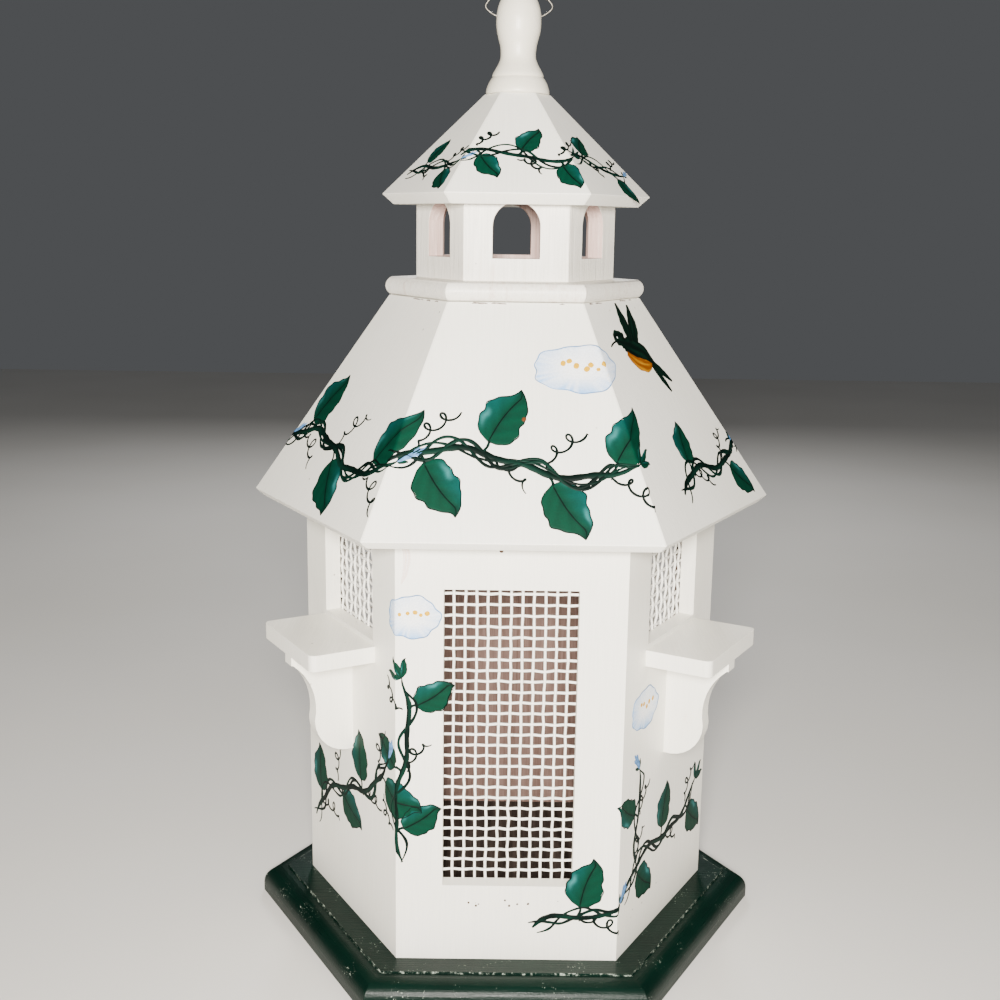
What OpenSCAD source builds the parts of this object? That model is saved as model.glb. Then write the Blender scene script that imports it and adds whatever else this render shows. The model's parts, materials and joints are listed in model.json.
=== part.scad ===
// Six-sided painted wooden birdhouse with screened windows, three perch shelves,
// a lift-off roof, a windowed cupola and a turned finial with a wire hanging bail.
// Millimetres. The origin is the centre of the base's underside, the front faces -Y.

/* [Body] */
// Outside width of each of the six walls
wall_w = 127; // [110:1:150]
// Thickness of the wall boards
wall_t = 9.5; // [6:0.5:12]
// Gap between the roof's underside and the tops of the walls
lift_gap = 0.3; // [0.2:0.1:0.6]

/* [Base] */
// Thickness of the base board, which is also the floor
base_t = 18; // [14:1:25]
// How far the base stands out past the walls, square to a wall
base_out = 28; // [24:1:40]
// Radius of the rounded edge
base_round = 11; // [8:1:13]
// Width of the flat land between the small step and the rounded edge
base_land = 3; // [2:1:8]
// Depth of the small step
base_step = 1.2; // [0.6:0.1:2]

/* [Windows] */
// Width of the three tall windows
tall_w = 74; // [60:1:80]
// Height of the tall windows
tall_h = 175; // [140:1:180]
// Height of the tall windows' lower edge above the floor
tall_z = 46; // [35:1:50]
// Width of the three short windows
short_w = 68; // [55:1:74]
// Height of the short windows
short_h = 79; // [60:1:80]
// Height of the short windows' sill above the floor
short_z = 183; // [175:1:184]

/* [Screens] */
// Spacing of the wires, a quarter of an inch
mesh_pitch = 6.35; // [4:0.05:8]
// Thickness of the wires
mesh_wire = 1; // [0.8:0.1:1.4]
// Wires across and up a tall screen
tall_wires = [15, 31]; // [10:1:40]
// Wires across and up a short screen
short_wires = [13, 15]; // [8:1:30]

/* [Shelves] */
// Width of the perch shelves
shelf_w = 74; // [60:1:90]
// How far a shelf stands out from the wall
shelf_d = 39; // [30:0.5:50]
// Thickness of a shelf
shelf_t = 9.5; // [6:0.5:12]
// Height of a shelf's upper face above the floor
shelf_z = 180.3; // [160:0.1:181]
// Height of the bracket under a shelf
bracket_h = 63.5; // [50:0.5:80]
// How far a bracket's nose stands out
bracket_d = 38; // [30:0.5:38]
// Thickness of a bracket
bracket_t = 9.5; // [6:0.5:16]

/* [Roof] */
// Length of the eave edge of one main roof panel
eave_w = 158.5; // [150:0.5:170]
// Height of the eave's upper edge above the floor
eave_z = 253.4; // [248:0.2:258]
// Length of the upper edge of one main roof panel
neck_w = 75.2; // [70:0.2:80]
// Height of the main roof's upper edge above the floor
neck_z = 373.1; // [365:0.1:380]
// Thickness of the main roof panels
roof_t = 6.4; // [6:0.1:8]

/* [Cupola] */
// Length of one side of the collar board
collar_w = 77.6; // [76:0.2:84]
// Thickness of the collar board
collar_t = 10.7; // [8:0.1:13]
// Outside width of each cupola wall
cupola_w = 59; // [54:0.5:64]
// Thickness of the cupola walls
cupola_t = 9.5; // [6:0.5:10]
// Width of the arched windows
arch_w = 26.4; // [20:0.2:30]
// Height of the arched windows' sill above the collar
arch_z = 12.8; // [8:0.2:16]
// Height of the arched windows
arch_h = 30.8; // [26:0.2:32]
// How far the back arch sits left of the middle, seen from the front
arch_shift = 3; // [0:0.5:4]
// Length of the rim edge of one cupola roof panel
rim_w = 79.4; // [76:0.2:84]
// Height of the rim's upper edge above the floor
rim_z = 431.9; // [428:0.1:436]
// Length of the upper edge of one cupola roof panel
tip_w = 19.2; // [19.2:0.1:20]
// Height of the cupola roof's upper edge above the floor
tip_z = 489.1; // [484:0.1:494]
// Thickness of the cupola roof panels
cap_t = 8.6; // [5:0.2:8.6]

/* [Finial and bail] */
// Height of the finial
finial_h = 61.5; // [58:0.5:66]
// Diameter of the dowel that holds the finial
dowel_d = 9.5; // [8:0.5:10]
// Height of the cross hole above the finial's foot
bail_z = 43; // [40:0.5:46]
// Diameter of the cross hole
bail_hole_d = 2.4; // [2:0.1:3]
// Diameter of the bail's wire
bail_d = 1; // [0.8:0.1:1.2]

/* [Hidden] */
$fn = 48;
FACET_N = 8;
SIDES = ["front", "front_right", "back_right", "back", "back_left", "front_left"];
TALL = [true, false, true, false, true, false];
SHELF_SIDES = [1, 3, 5];
BACK = 3;

body_a = wall_w * cos(30);
inner_a = body_a - wall_t;
base_a = body_a + base_out;
eave_a = eave_w * cos(30);
neck_a = neck_w * cos(30);
roof_slope = atan2(neck_z - eave_z, eave_a - neck_a);
rim_a = rim_w * cos(30);
tip_a = tip_w * cos(30);
cap_slope = atan2(tip_z - rim_z, rim_a - tip_a);
eave_cut = 45;
cupola_a = cupola_w * cos(30);
collar_z = neck_z + collar_t;
collar_nose_r = 6;

// Height of a sloping panel's underside at a distance from the axis
function under_z(r, edge_a, edge_z, slope, t) =
    base_t + edge_z + (edge_a - r) * tan(slope) - t / cos(slope);
wall_top = under_z(body_a, eave_a, eave_z, roof_slope, roof_t) - lift_gap;
cupola_top = under_z(cupola_a, rim_a, rim_z, cap_slope, cap_t);

// How far a cutting shape reaches past the piece it cuts
over = 1;
// Length of the cross hole's cutter, longer than the finial is wide
bore_l = 40;
screw_r = 1.5;
screw_head_r = 3;
screw_gap = 0.1;
screw_sink = 0.4;
floor_screw_l = 38;
floor_screw_y = 36;
shelf_screw_l = 26;
shelf_screw_y = 22;
bracket_screw_z = [14, 44];
staple_t = 0.7;
staple_leg = 5;
shelf_corner_r = 4;
nose_h = 6;
nose_back = 1;
foot_r = 21.5;
foot_y = 2.5;
cove_r = 36;
apex_a = 13;
apex_t = 12;
apex_drop = 9;
dowel_in = 16;
dowel_top = base_t + tip_z + dowel_in;
apex_z = base_t + tip_z - apex_drop - apex_t;

// The finial's outline: height above its foot and radius, smoothed between the points
FINIAL = [[0, 18], [1.6, 18.5], [4.2, 18.2], [6.6, 17.1], [8.7, 15.7], [9.4, 15],
    [10.3, 15.2], [12, 14.4], [14.5, 13], [17, 11.5], [20, 10.4], [23.5, 10.3],
    [27.5, 10.8], [31.5, 11.9], [35.5, 12.8], [40, 13.1], [44, 12.9], [48, 12.2],
    [52, 10.7], [56, 8.3], [59.5, 4.6], [61.5, 0]];
// Half of the bail's outline, from the middle of the cross hole round to the top
BAIL = [[0, 0], [6, 0], [12, 0.2], [16.5, 2.4], [19.2, 5.4], [17.6, 8.6], [12.5, 13.6],
    [6.8, 19.4], [3, 24], [0, 26]];
BAIL_STEPS = 3;
BAIL_SIDES = 10;

// ---- outlines ----

// Points on an arc about a centre, from angle a to angle b
function arc(c, r, a, b, n = FACET_N) =
    [for (i = [0:n]) c + r * [cos(a + (b - a) * i / n), sin(a + (b - a) * i / n)]];

// Centre of the arc of radius r from p to q, on the left of the way from p to q
function arc_centre(p, q, r) =
    let (m = (p + q) / 2, d = q - p, h = sqrt(r * r - d * d / 4))
    m + h * [-d[1], d[0]] / norm(d);

// One point of the smooth curve between b and c, with a before b and d after c
function smooth_at(a, b, c, d, t) =
    0.5 * ((2 * b) + (c - a) * t + (2 * a - 5 * b + 4 * c - d) * t * t
        + (3 * b - a - 3 * c + d) * t * t * t);

// A smooth open curve through every point of a list
function smooth(p, n) =
    let (e = len(p) - 1)
    concat([for (i = [0:e - 1]) for (j = [0:n - 1])
        smooth_at(p[max(i - 1, 0)], p[i], p[i + 1], p[min(i + 2, e)], j / n)], [p[e]]);

// ---- placing ----

// Turns a shape that faces +X so that it faces side k
module on_side(k) rotate([0, 0, 60 * k - 90]) children();

// Stands a profile of distance out and height on edge, as wide as w
module slab(w) translate([0, w / 2, 0]) rotate([90, 0, 0]) linear_extrude(w) children();

// A board seen from above: a mitred strip of wall from apothem a inwards by t
module mitred(a, t) polygon([
    [a, -a * tan(30)], [a, a * tan(30)], [a - t, (a - t) * tan(30)], [a - t, -(a - t) * tan(30)]]);

// A sixth of the plan, for mitring the sloping panels
module sixth(a, z0, z1) translate([0, 0, z0]) linear_extrude(z1 - z0)
    polygon([[0, 0], [a, -a * tan(30)], [a, a * tan(30)]]);

// Countersunk screw, its head's face at the origin and its point towards +Z
module screw(length, gap = 0) rotate_extrude() polygon([
    [0, -gap], [screw_head_r + gap, -gap], [screw_head_r + gap, gap],
    [screw_r + gap, screw_head_r - screw_r + gap], [screw_r + gap, length - 2 * screw_r],
    [0, length + gap]]);

module floor_screws_at(gap = 0) for (k = [0:5]) on_side(k) for (y = [-floor_screw_y, floor_screw_y])
    translate([body_a - wall_t / 2, y, screw_sink]) screw(floor_screw_l, gap);

module shelf_screws_at(k, gap = 0) on_side(k) for (y = [-shelf_screw_y, shelf_screw_y])
    translate([inner_a + screw_sink, y, base_t + shelf_z - shelf_t / 2])
    rotate([0, 90, 0]) screw(shelf_screw_l, gap);

module bracket_screws_at(k, gap = 0) on_side(k) for (z = bracket_screw_z)
    translate([inner_a + screw_sink, 0, base_t + shelf_z - shelf_t - z])
    rotate([0, 90, 0]) screw(shelf_screw_l, gap);

// ---- house ----

module base_edge() polygon(concat(
    [[-base_a * 2, 0], [base_a, 0]],
    arc([base_a - base_round, base_t - base_step - base_round], base_round, 0, 90),
    [[base_a - base_round - base_land, base_t - base_step],
     [base_a - base_round - base_land, base_t], [-base_a * 2, base_t]]));

module base_plinth() color("#12382b") difference() {
    intersection_for (k = [0:5]) on_side(k) slab(4 * base_a) base_edge();
    floor_screws_at(screw_gap);
}

module floor_screws() color("#8f8f8a") floor_screws_at();

module wall(k) {
    w = TALL[k] ? tall_w : short_w;
    h = TALL[k] ? tall_h : short_h;
    z = TALL[k] ? tall_z : short_z;
    color("#efebdf") difference() {
        on_side(k) translate([0, 0, base_t]) linear_extrude(wall_top - base_t) mitred(body_a, wall_t);
        on_side(k) translate([inner_a - over, -w / 2, base_t + z]) cube([wall_t + 2 * over, w, h]);
        floor_screws_at(screw_gap);
        if (!TALL[k]) shelf_screws_at(k, screw_gap);
        if (!TALL[k]) bracket_screws_at(k, screw_gap);
    }
}

module screen(k) {
    n = TALL[k] ? tall_wires : short_wires;
    size = [(n[0] - 1) * mesh_pitch, (n[1] - 1) * mesh_pitch];
    mid = base_t + (TALL[k] ? tall_z + tall_h / 2 : short_z + short_h / 2);
    hole = mesh_pitch - mesh_wire;
    color("#d9d5c9") on_side(k) translate([inner_a - mesh_wire, 0, mid])
        rotate([90, 0, 90]) linear_extrude(mesh_wire) difference() {
            square(size + [mesh_wire, mesh_wire], center = true);
            for (i = [0:n[0] - 2]) for (j = [0:n[1] - 2])
                translate([i * mesh_pitch, j * mesh_pitch] - size / 2 + [mesh_wire, mesh_wire] / 2)
                square(hole);
        }
}

// Staple astride one wire, its crown inside the house and its legs in the wall
module staple() rotate([90, 0, 0]) linear_extrude(staple_t, center = true) difference() {
    translate([-mesh_wire - staple_t, -(mesh_pitch + staple_t) / 2])
        square([mesh_wire + staple_t + staple_leg, mesh_pitch + staple_t]);
    translate([-mesh_wire, -(mesh_pitch - staple_t) / 2])
        square([mesh_wire + staple_leg + over, mesh_pitch - staple_t]);
}

module screen_staples() color("#a9a9a4") for (k = [0:5]) {
    n = TALL[k] ? tall_wires : short_wires;
    mid = base_t + (TALL[k] ? tall_z + tall_h / 2 : short_z + short_h / 2);
    rows = TALL[k] ? [-14, -7, 0, 7, 14] : [-6, 0, 6];
    side_y = (n[0] - 1) / 2 * mesh_pitch - mesh_pitch / 2;
    for (j = rows) for (y = [-side_y, side_y])
        on_side(k) translate([inner_a, y, mid + j * mesh_pitch]) staple();
}

module shelf_plan() polygon(concat(
    [[body_a, -shelf_w / 2]],
    arc([body_a + shelf_d - shelf_corner_r, -shelf_w / 2 + shelf_corner_r], shelf_corner_r, -90, 0),
    arc([body_a + shelf_d - shelf_corner_r, shelf_w / 2 - shelf_corner_r], shelf_corner_r, 0, 90),
    [[body_a, shelf_w / 2]]));

module shelf(k) color("#efebdf") difference() {
    on_side(k) translate([0, 0, base_t + shelf_z - shelf_t]) linear_extrude(shelf_t) shelf_plan();
    shelf_screws_at(k, screw_gap);
}

module bracket_outline() {
    top = bracket_h;
    cove_top = [bracket_d - nose_back, top - nose_h];
    cove_end = [foot_y + foot_r, foot_r];
    c = arc_centre(cove_top, cove_end, cove_r);
    a0 = atan2(cove_top[1] - c[1], cove_top[0] - c[0]);
    a1 = atan2(cove_end[1] - c[1], cove_end[0] - c[0]);
    foot_end = -90 - asin(foot_y / foot_r);
    polygon(concat([[0, top], [bracket_d, top], [bracket_d, top - nose_h]],
        arc(c, cove_r, a0, a1 < 0 ? a1 + 360 : a1),
        [for (p = arc([foot_y, foot_r], foot_r, 0, foot_end)) [max(p[0], 0), p[1]]]));
}

module bracket(k) color("#efebdf") difference() {
    on_side(k) translate([body_a, 0, base_t + shelf_z - shelf_t - bracket_h])
        slab(bracket_t) bracket_outline();
    bracket_screws_at(k, screw_gap);
}

module shelf_screws() color("#8f8f8a") for (k = SHELF_SIDES) shelf_screws_at(k);

module bracket_screws() color("#8f8f8a") for (k = SHELF_SIDES) bracket_screws_at(k);

// ---- roof ----

// Sloping panel from its lower edge to its upper edge, the lower edge cut at 45 degrees
module panel_profile(low, high, slope, t) {
    top_l = t / sin(slope);
    cut_l = t / sin(slope + eave_cut);
    polygon([low, high, high - [top_l, 0], low - cut_l * [cos(eave_cut), sin(eave_cut)]]);
}

module roof_panel(k) color("#efebdf") on_side(k) intersection() {
    slab(2 * eave_w)
        panel_profile([eave_a, base_t + eave_z], [neck_a, base_t + neck_z], roof_slope, roof_t);
    sixth(eave_a + over, 0, base_t + neck_z + over);
}

module collar_edge() {
    sweep = asin(collar_t / 2 / collar_nose_r);
    polygon(concat([[-2 * collar_w, 0]],
        arc([collar_w * cos(30) - collar_nose_r, collar_t / 2], collar_nose_r, -sweep, sweep),
        [[-2 * collar_w, collar_t]]));
}

module collar() color("#efebdf") translate([0, 0, base_t + neck_z])
    intersection_for (k = [0:5]) on_side(k) slab(4 * collar_w) collar_edge();

module cupola_wall(k) color("#efebdf") difference() {
    on_side(k) translate([0, 0, base_t + collar_z])
        linear_extrude(cupola_top - base_t - collar_z) mitred(cupola_a, cupola_t);
    on_side(k) translate([cupola_a - cupola_t - over, k == BACK ? arch_shift : 0, base_t + collar_z + arch_z])
        rotate([90, 0, 90]) linear_extrude(cupola_t + 2 * over) {
            translate([-arch_w / 2, 0]) square([arch_w, arch_h - arch_w / 2]);
            translate([0, arch_h - arch_w / 2]) circle(arch_w / 2);
        }
}

module cupola_roof(k) color("#efebdf") on_side(k) intersection() {
    slab(2 * rim_w) panel_profile([rim_a, base_t + rim_z], [tip_a, base_t + tip_z], cap_slope, cap_t);
    sixth(rim_a + over, base_t + collar_z, base_t + tip_z + over);
}

module apex_block() color("#c9a58f") difference() {
    translate([0, 0, apex_z]) cylinder(r = apex_a / cos(30), h = apex_t, $fn = 6);
    translate([0, 0, apex_z - over]) cylinder(d = dowel_d, h = apex_t + 2 * over);
}

module finial_dowel() color("#c9a58f") translate([0, 0, apex_z])
    cylinder(d = dowel_d, h = dowel_top - apex_z);

module finial() color("#efebdf") difference() {
    tall = finial_h / FINIAL[len(FINIAL) - 1][0];
    translate([0, 0, base_t + tip_z]) rotate_extrude()
        polygon(concat([[0, 0]], [for (p = smooth(FINIAL, 2)) [max(p[1], 0), p[0] * tall]]));
    translate([0, 0, base_t + tip_z - over]) cylinder(d = dowel_d, h = dowel_in + over);
    translate([-bore_l / 2, 0, base_t + tip_z + bail_z])
        rotate([0, 90, 0]) cylinder(d = bail_hole_d, h = bore_l);
}

// ---- bail ----

module hanging_bail() {
    half = smooth(BAIL, BAIL_STEPS);
    m = len(half);
    path = concat(half, [for (i = [m - 2:-1:1]) [-half[i][0], half[i][1]]]);
    n = len(path);
    points = [for (i = [0:n - 1])
        let (d = path[(i + 1) % n] - path[(i + n - 1) % n], u = [d[1], -d[0]] / norm(d))
        for (j = [0:BAIL_SIDES - 1])
        let (a = 360 * j / BAIL_SIDES, q = path[i] + bail_d / 2 * cos(a) * u)
        [q[0], bail_d / 2 * sin(a), q[1]]];
    faces = [for (i = [0:n - 1]) for (j = [0:BAIL_SIDES - 1])
        let (i2 = (i + 1) % n, j2 = (j + 1) % BAIL_SIDES)
        [i * BAIL_SIDES + j, i * BAIL_SIDES + j2, i2 * BAIL_SIDES + j2, i2 * BAIL_SIDES + j]];
    color("#77756f") translate([0, 0, base_t + tip_z + bail_z]) polyhedron(points, faces, convexity = 4);
}

base_plinth();
floor_screws();
for (k = [0:5]) {
    wall(k);
    screen(k);
    roof_panel(k);
    cupola_wall(k);
    cupola_roof(k);
}
screen_staples();
for (k = SHELF_SIDES) {
    shelf(k);
    bracket(k);
}
shelf_screws();
bracket_screws();
collar();
apex_block();
finial_dowel();
finial();
hanging_bail();
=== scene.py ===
import json
import math
import bmesh
import bpy
import numpy as np
from mathutils import Matrix, Vector

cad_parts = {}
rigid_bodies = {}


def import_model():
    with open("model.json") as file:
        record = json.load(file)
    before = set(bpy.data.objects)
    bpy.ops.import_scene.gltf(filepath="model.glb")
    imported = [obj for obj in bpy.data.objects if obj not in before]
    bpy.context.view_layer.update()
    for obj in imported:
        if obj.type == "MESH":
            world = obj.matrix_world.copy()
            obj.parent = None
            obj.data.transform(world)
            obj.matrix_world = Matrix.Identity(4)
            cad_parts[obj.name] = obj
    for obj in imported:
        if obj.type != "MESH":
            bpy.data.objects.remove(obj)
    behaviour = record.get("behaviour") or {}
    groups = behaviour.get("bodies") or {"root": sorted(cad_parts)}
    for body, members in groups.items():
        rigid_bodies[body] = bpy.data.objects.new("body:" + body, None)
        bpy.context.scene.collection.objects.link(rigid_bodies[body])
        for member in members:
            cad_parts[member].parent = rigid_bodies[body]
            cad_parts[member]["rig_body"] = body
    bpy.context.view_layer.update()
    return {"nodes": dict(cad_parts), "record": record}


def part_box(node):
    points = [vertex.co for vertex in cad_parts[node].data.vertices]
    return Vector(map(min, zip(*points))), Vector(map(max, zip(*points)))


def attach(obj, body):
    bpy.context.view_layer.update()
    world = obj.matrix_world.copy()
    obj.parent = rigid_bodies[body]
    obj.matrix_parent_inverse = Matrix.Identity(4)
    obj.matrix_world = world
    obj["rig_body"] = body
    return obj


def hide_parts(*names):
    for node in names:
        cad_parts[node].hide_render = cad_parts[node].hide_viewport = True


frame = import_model()
mm = 0.001
nearlyLevel = 0.01 * mm
sides = ["front", "front_right", "back_right", "back", "back_left", "front_left"]
tallSides = ["front", "back_right", "back_left"]
shelfSides = ["front_right", "back", "front_left"]
tan30 = math.tan(math.radians(30))
print("frame loaded:", len(frame["nodes"]), "nodes")


def linear(hexText):  # sRGB hex to linear red, green, blue, alpha
    c = np.array([int(hexText[i:i + 2], 16) / 255 for i in (1, 3, 5)])
    c = np.where(c <= 0.04045, c / 12.92, ((c + 0.055) / 1.055) ** 2.4)
    return (*c.tolist(), 1.0)


# Adds a node and gives back one of its outputs. A second word in kind is the operation; Mix mixes colours.
# A name that is one of the node's own properties sets it, "stops" fills a ramp, and any other name is a
# socket (_ for a space, or i and its number), set or linked.
def node(tree, kind, out=0, stops=(), **values):
    kind, *operation = kind.split()
    n = tree.nodes.new("ShaderNode" + kind)
    if operation:
        n.operation = operation[0]
    if kind == "Mix":
        n.data_type = "RGBA"
    for key in sorted(values, key=lambda k: not hasattr(n, k)):
        value = values[key]
        if hasattr(n, key):
            setattr(n, key, value)
            continue
        socket = n.inputs[int(key[1:])] if key[1:].isdigit() else n.inputs[key.replace("_", " ")]
        if isinstance(value, bpy.types.NodeSocket):
            tree.links.new(value, socket)
        else:
            socket.default_value = value
    for i, (at, value) in enumerate(stops):
        e = n.color_ramp.elements
        e = e[i] if i < len(e) else e.new(at)
        e.position = at
        e.color = linear(value) if isinstance(value, str) else (value, value, value, 1)
    return n.outputs[out] if len(n.outputs) else n


# An empty node material of that name, with its tree.
def newMaterial(name):
    m = bpy.data.materials.new(name)
    m.use_nodes = True
    m.node_tree.nodes.clear()
    return m, m.node_tree


# Pine board brushed by hand with ivory semi-gloss paint. It gives the eye a warm white with faint brush
# ridges up the board, an uneven sheen, thin places where the pinkish wood shows, and specks of dirt.
def ivoryPaint(name, look):
    m, t = newMaterial(name)
    board = node(t, "TexCoord", 2)
    place = node(t, "TexCoord", 3)
    bristles = node(t, "Mapping", Vector=board, Scale=(900, 28, 1))  # ridges about 1.1 mm apart
    fibres = node(t, "Mapping", Vector=board, Scale=(330, 9, 1))  # grain about 3 mm wide
    ridge = node(t, "TexNoise", Vector=bristles, Scale=1.0, Detail=4.0, Roughness=0.6)
    grain = node(t, "TexNoise", Vector=fibres, Scale=1.0, Detail=6.0, Roughness=0.65, Distortion=0.6)
    cloud = node(t, "TexNoise", Vector=place, Scale=14.0, Detail=3.0)  # uneven coat, 70 mm patches
    stipple = node(t, "TexNoise", Vector=place, Scale=420.0, Detail=2.0)  # orange peel about 2.4 mm
    bare = node(t, "TexNoise", Vector=place, Scale=38.0, Detail=4.0, Roughness=0.7)
    speck = node(t, "TexVoronoi", Vector=place, Scale=95.0)  # a speck every 10 mm or so
    colour = node(t, "Mix", 2, i0=cloud, i6=linear(look["pale"]), i7=linear(look["warm"]))
    streak = node(t, "ValToRGB", i0=ridge, stops=[(0.35, 0.90), (0.62, 1.0)])
    colour = node(t, "Mix", 2, blend_type="MULTIPLY", i0=look["streak"], i6=colour, i7=streak)
    showing = node(t, "ValToRGB", i0=grain, stops=[(0.5, 0.0), (0.72, look["thin"])])
    where = node(t, "ValToRGB", i0=bare, stops=[(look["thinAt"], 0.0), (look["thinAt"] + 0.12, 1.0)])
    thin = node(t, "Math MULTIPLY", i0=showing, i1=where)
    colour = node(t, "Mix", 2, i0=thin, i6=colour, i7=linear(look["wood"]))
    spot = node(t, "ValToRGB", i0=speck, stops=[(0.045, 0.6), (0.075, 0.0)])
    few = node(t, "ValToRGB", i0=cloud, stops=[(0.54, 0.0), (0.62, 1.0)])
    dirt = node(t, "Math MULTIPLY", i0=spot, i1=few)
    colour = node(t, "Mix", 2, i0=dirt, i6=colour, i7=linear("#6b5a48"))
    gloss = node(t, "ValToRGB", i0=ridge, stops=[(0.3, look["rough"] + 0.10), (0.7, look["rough"] - 0.06)])
    deep = node(t, "Math MULTIPLY", i0=grain, i1=look["grain"])
    height = node(t, "Math MULTIPLY_ADD", i0=ridge, i1=0.5, i2=deep)
    height = node(t, "Math MULTIPLY_ADD", i0=stipple, i1=0.35, i2=height)
    bump = node(t, "Bump", Height=height, Strength=look["bump"], Distance=0.35 * mm)
    shader = node(t, "BsdfPrincipled", Base_Color=colour, Roughness=gloss, Normal=bump, IOR=1.5,
                  Coat_Weight=0.1, Coat_Roughness=0.25)
    node(t, "OutputMaterial", Surface=shader)
    return m


# Pine base brushed with hunter-green gloss. It gives a near-black green with soft highlights, brush drag,
# pale chips, a broken pale line along the little step that is partly rubbed wear and partly a painted
# highlight of its edge, and bare boards inside the walls, darkened as painted shade of the closed house.
def greenGlossPaint(step, inside):
    m, t = newMaterial("hunterGreenGloss")
    place = node(t, "TexCoord", 3)
    drag = node(t, "Mapping", Vector=node(t, "TexCoord", 2), Scale=(30, 800, 1))  # drag along the edge
    ridge = node(t, "TexNoise", Vector=drag, Scale=1.0, Detail=4.0, Roughness=0.6)
    cloud = node(t, "TexNoise", Vector=place, Scale=22.0, Detail=3.0)
    grit = node(t, "TexNoise", Vector=place, Scale=900.0, Detail=2.0)  # chips about 1 mm
    patch = node(t, "TexNoise", Vector=place, Scale=60.0, Detail=3.0)
    tear = node(t, "TexNoise", Vector=place, Scale=300.0, Detail=6.0, Roughness=0.8)
    colour = node(t, "Mix", 2, i0=cloud, i6=linear("#010a06"), i7=linear("#052018"))
    chip = node(t, "ValToRGB", i0=grit, stops=[(0.66, 0.0), (0.70, 0.6)])
    knocked = node(t, "ValToRGB", i0=patch, stops=[(0.55, 0.0), (0.64, 1.0)])
    chips = node(t, "Math MULTIPLY", i0=chip, i1=knocked)
    x, y = (node(t, "SeparateXYZ", k, Vector=place) for k in (0, 1))
    reach = 0.0  # distance from the axis, square to the nearest side
    for angle in (90, 30, 150):
        nx, ny = math.cos(math.radians(angle)), math.sin(math.radians(angle))
        d = node(t, "Math MULTIPLY", i0=y, i1=ny)
        d = node(t, "Math MULTIPLY_ADD", i0=x, i1=nx, i2=d)
        d = node(t, "Math ABSOLUTE", i0=d)
        reach = node(t, "Math MAXIMUM", i0=reach, i1=d)
    # A pale broken line along the step's edge: partly rubbed wear, partly a painted highlight of that edge.
    off = node(t, "Math SUBTRACT", i0=reach, i1=step)
    off = node(t, "Math ABSOLUTE", i0=off)
    line = node(t, "MapRange", Value=off, From_Min=0.15 * mm, From_Max=0.6 * mm, To_Min=1.0, To_Max=0.0)
    broken = node(t, "ValToRGB", i0=tear, stops=[(0.53, 0.0), (0.62, 0.75)])
    rubbedAndHighlit = node(t, "Math MULTIPLY", i0=line, i1=broken)
    worn = node(t, "Math MAXIMUM", i0=chips, i1=rubbedAndHighlit)
    colour = node(t, "Mix", 2, i0=worn, i6=colour, i7=linear("#b9c4b6"))
    fibres = node(t, "Mapping", Vector=place, Scale=(260, 9, 9))  # grain about 4 mm wide
    grain = node(t, "TexNoise", Vector=fibres, Scale=1.0, Detail=6.0, Roughness=0.6)
    # The bare boards inside the walls are far darker than bare wood: painted shade of the closed house.
    boards = node(t, "ValToRGB", i0=grain, stops=[(0.35, "#2e2723"), (0.65, "#554a44")])
    indoors = node(t, "Math LESS_THAN", i0=reach, i1=inside)
    colour = node(t, "Mix", 2, i0=indoors, i6=colour, i7=boards)
    gloss = node(t, "ValToRGB", i0=ridge, stops=[(0.3, 0.38), (0.7, 0.26)])
    matt = node(t, "Math MULTIPLY", i0=indoors, i1=0.8)
    gloss = node(t, "Math MAXIMUM", i0=gloss, i1=matt)
    height = node(t, "Math MULTIPLY_ADD", i0=grit, i1=0.5, i2=ridge)
    bump = node(t, "Bump", Height=height, Strength=0.5, Distance=0.3 * mm)
    shader = node(t, "BsdfPrincipled", Base_Color=colour, Roughness=gloss, Normal=bump, IOR=1.45,
                  Specular_IOR_Level=0.12)
    node(t, "OutputMaterial", Surface=shader)
    return m


# Bare planed cedar inside the house: matt pinkish brown with fine darker grain and pores.
def bareCedar(name, pale, dark):
    m, t = newMaterial(name)
    board = node(t, "TexCoord", 2)
    fibres = node(t, "Mapping", Vector=board, Scale=(420, 10, 1))  # grain about 2.4 mm apart
    pores = node(t, "Mapping", Vector=board, Scale=(2600, 90, 1))  # pores about 0.4 mm
    grain = node(t, "TexNoise", Vector=fibres, Scale=1.0, Detail=7.0, Roughness=0.62, Distortion=0.8)
    pore = node(t, "TexNoise", Vector=pores, Scale=1.0, Detail=3.0)
    cloud = node(t, "TexNoise", Vector=node(t, "TexCoord", 3), Scale=20.0, Detail=3.0)
    colour = node(t, "ValToRGB", i0=grain, stops=[(0.32, dark), (0.66, pale)])
    patchy = node(t, "ValToRGB", i0=cloud, stops=[(0.3, 0.85), (0.7, 1.0)])
    colour = node(t, "Mix", 2, blend_type="MULTIPLY", i0=1.0, i6=colour, i7=patchy)
    pitted = node(t, "ValToRGB", i0=pore, stops=[(0.4, 0.84), (0.6, 1.0)])
    colour = node(t, "Mix", 2, blend_type="MULTIPLY", i0=1.0, i6=colour, i7=pitted)
    height = node(t, "Math ADD", i0=grain, i1=pore)
    bump = node(t, "Bump", Height=height, Strength=0.6, Distance=0.3 * mm)
    shader = node(t, "BsdfPrincipled", Base_Color=colour, Normal=bump, Roughness=0.78, IOR=1.5)
    node(t, "OutputMaterial", Surface=shader)
    return m


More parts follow.
